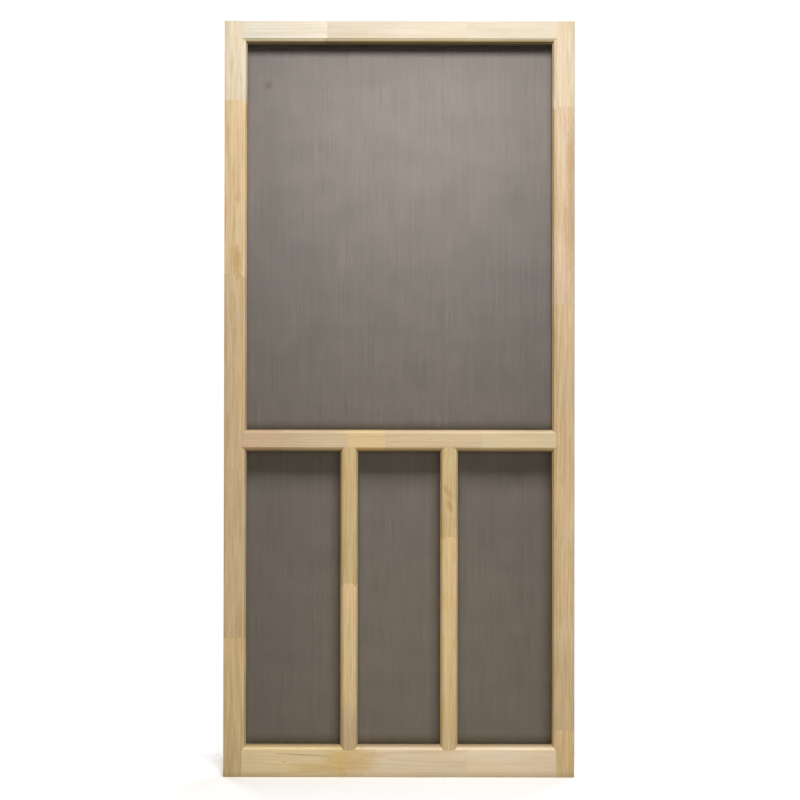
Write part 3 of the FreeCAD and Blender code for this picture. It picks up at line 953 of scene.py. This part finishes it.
def area_light(name, place, target, size, power, colour, spread=math.pi):
    """A lamp with a flat face, aimed at a point. A small spread is a box with a grid on it."""
    lamp = bpy.data.lights.new(name, "AREA")
    lamp.shape = "RECTANGLE"
    lamp.size, lamp.size_y = size
    lamp.energy = power
    lamp.color = colour
    lamp.spread = spread
    light = bpy.data.objects.new(name, lamp)
    light.location = place
    light.visible_camera = False
    light.rotation_euler = (Vector(target) - Vector(place)).to_track_quat("-Z", "Y").to_euler()
    bpy.context.scene.collection.objects.link(light)
    return light


def shine_on(light, pieces):
    """Flags a lamp off everything but these pieces. Every piece still casts its shadow."""
    lit = bpy.data.collections.new(f"{light.name}_lit")
    for piece in pieces:
        lit.objects.link(piece)
    light.light_linking.receiver_collection = lit


# Lamps in front of the door: name, setting of its power, place and target from the foot of the face's middle, size,
# colour, spread in degrees and what it lights.
LAMPS = (
    ("key_lamp", "key_power", (0.28, -1.7, 2.9), (0.02, 0.0, 0.4), (0.6, 0.6), (1.0, 1.0, 1.0), 115, ["timber"]),
    ("soft_box", "box_power", (0.05, -0.46, 2.45), (0.05, 0.0, -0.2), (1.1, 0.3), (0.98, 1.0, 1.05), 90, ["screens"]),
    ("low_fill", "low_power", (0.2, -1.2, 0.16), (0.0, 0.0, 0.32), (0.8, 0.3), (1.0, 0.88, 0.64), 92, ["screens"]),
    ("high_panel", "panel_power", (0.5, -2.5, 5.6), (0.2, -1.5, 0.0), (1.6, 0.9), (1.0, 0.98, 0.96), 60, ["floor"]),
    ("front_fill", "fill_power", (0.5, -1.7, 0.25), (0.0, 0.0, 0.3), (1.4, 0.4), (1.0, 0.92, 0.78), 84,
     ["timber", "floor"]),
)
AMBIENT_TINT = (1.0, 0.86, 0.60, 1)

# Lamps behind the door, which light everything: places and aim from the foot of the back's middle, size and colour.
REAR_LAMPS = {"rear_left": (-2.0, 2.0, 2.3), "rear_right": (2.0, 2.0, 2.3)}
REAR_AIM = (0.0, 0.0, 1.0)
REAR_SIZE = (1.0, 1.0)
REAR_TINT = (1.0, 0.98, 0.95)

# Floor: how far it reaches, its colour as it lights the door and as it is seen, and where and how fast it fades.
FLOOR_REACH = 3.0
FLOOR_UNSEEN = (0.08, 0.08, 0.08, 1)
FLOOR_SEEN = (0.76, 0.76, 0.76, 1)
FADE_FROM = 0.03
FADE_RATE = 5.0

# Camera: the picture's side and the door's height in it in pixels, how far the camera stands beside the middle, how
# far it and its aim are below half height, and its roll in degrees.
PICTURE_SIDE = 800
DOOR_IN_PICTURE = 756.3
CAMERA_ASIDE = 0.0018
CAMERA_BELOW = 0.019
AIM_BELOW = 0.004
CAMERA_ROLL = 0.09


def floor_material(middle):
    """Matt white that fades into the white behind it some way from the door."""
    material, w, shader = new_material("floor_white")
    seen = w.seen()
    w.feed(shader, Base_Color=w.mix(seen, FLOOR_UNSEEN, FLOOR_SEEN), Roughness=0.9)
    x, y, _ = w.place()
    aside = w.math("SUBTRACT", w.math("ABSOLUTE", w.math("SUBTRACT", x, middle)), middle)
    aside = w.math("MAXIMUM", aside, 0.0)
    reach = w.math("SQRT", w.squares(aside, y))
    faded = w.math("MULTIPLY", w.math("SUBTRACT", reach, FADE_FROM), FADE_RATE)
    keep = w.math("SUBTRACT", 1.0, faded, clamp=True)
    w.feed(shader, Alpha=w.math("MAXIMUM", keep, w.math("SUBTRACT", 1.0, seen)))
    return material


def lay_floor(middle):
    """Lays the white floor that the door stands on."""
    near, far = -FLOOR_REACH, FLOOR_REACH
    corners = [(middle + x, y, 0) for x, y in ((near, near), (far, near), (far, far), (near, far))]
    mesh = bpy.data.meshes.new("floor")
    mesh.from_pydata(corners, [], [(0, 1, 2, 3)])
    floor = new_object("floor", mesh)
    floor.data.materials.append(floor_material(middle))
    return floor


def light_world(scene, strength):
    """Gives the door an even warm light, and the camera a plain white behind it."""
    world = bpy.data.worlds.new("studio")
    scene.world = world
    world.use_nodes = True
    w = Wiring(world.node_tree)
    even = w.feed(world.node_tree.nodes["Background"], Color=AMBIENT_TINT, Strength=strength)[0]
    white = w.feed(w.node("ShaderNodeBackground"), Color=(1, 1, 1, 1), Strength=1.0)[0]
    mix = w.fill(w.node("ShaderNodeMixShader"), w.seen(), even, white)[0]
    w.feed(world.node_tree.nodes["World Output"], Surface=mix)


def set_camera(scene, middle, distance):
    """Stands the camera in front of the door, so that the door fills the picture as in the photograph."""
    lens = bpy.data.cameras.new("camera")
    lens.sensor_fit = "HORIZONTAL"
    lens.sensor_width = 36.0
    across = HEIGHT * PICTURE_SIDE / DOOR_IN_PICTURE
    lens.angle = 2 * math.atan(across / 2 / distance)
    camera = bpy.data.objects.new("camera", lens)
    scene.collection.objects.link(camera)
    camera.location = (middle + CAMERA_ASIDE, FRONT - distance, HEIGHT / 2 - CAMERA_BELOW)
    aim = Vector((middle + CAMERA_ASIDE, FRONT, HEIGHT / 2 - AIM_BELOW))
    level = (aim - camera.location).to_track_quat("-Z", "Y")
    camera.rotation_euler = (level @ Quaternion((0, 0, 1), math.radians(CAMERA_ROLL))).to_euler()
    scene.camera = camera


class DOOR_OT_stage(bpy.types.Operator):
    """Set the floor, the lights and the camera"""

    bl_idname = "door.stage"
    bl_label = "Stage"

    def execute(self, context):
        scene = context.scene
        setup = scene.door_stage
        scene.view_settings.view_transform = "Standard"
        middle = WIDTH / 2
        floor = lay_floor(middle)
        light_world(scene, setup.ambient)
        screens = [bpy.data.objects[f"{name}_screen_cloth"] for name in OPENINGS]
        timber = [piece for piece in scene.objects if piece.type == "MESH" and piece not in [*screens, floor]]
        pieces = {"timber": timber, "screens": screens, "floor": [floor]}
        foot = Vector((middle, FRONT, 0.0))
        for name, power, place, target, size, colour, spread, lit in LAMPS:
            light = area_light(name, foot + Vector(place), foot + Vector(target), size, getattr(setup, power), colour,
                               math.radians(spread))
            shine_on(light, [piece for kind in lit for piece in pieces[kind]])
        heel = Vector((middle, BACK, 0.0))
        for name, place in REAR_LAMPS.items():
            area_light(name, heel + Vector(place), heel + Vector(REAR_AIM), REAR_SIZE, setup.rear_power, REAR_TINT)
        set_camera(scene, middle, setup.distance)
        return {"FINISHED"}


class DOOR_PT_panel(bpy.types.Panel):
    """Lists the steps that finish the door"""

    bl_idname = "DOOR_PT_panel"
    bl_label = "Screen Door"
    bl_space_type = "VIEW_3D"
    bl_region_type = "UI"
    bl_category = "Screen Door"

    def draw(self, context):
        layout = self.layout
        for step in STEPS:
            layout.operator(step.bl_idname)
        for name in SETTINGS:
            box = layout.box()
            group = getattr(context.scene, name)
            for prop in group.__annotations__:
                box.prop(group, prop)


STEPS = (DOOR_OT_stiles, DOOR_OT_rails, DOOR_OT_bars, DOOR_OT_screens, DOOR_OT_splines, DOOR_OT_stage)
SETTINGS = {"door_joinery": DoorJoinery, "door_wood": DoorWood, "door_screen": DoorScreen, "door_stage": DoorStage}


def register():
    for cls in (*SETTINGS.values(), *STEPS, DOOR_PT_panel):
        bpy.utils.register_class(cls)
    for name, cls in SETTINGS.items():
        setattr(bpy.types.Scene, name, PointerProperty(type=cls))


def unregister():
    for name in SETTINGS:
        delattr(bpy.types.Scene, name)
    for cls in reversed((*SETTINGS.values(), *STEPS, DOOR_PT_panel)):
        bpy.utils.unregister_class(cls)


def main():
    register()
    bpy.ops.door.stiles()
    bpy.ops.door.rails()
    bpy.ops.door.bars()
    bpy.ops.door.screens()
    bpy.ops.door.splines()
    bpy.ops.door.stage()


if __name__ == "__main__":
    main()
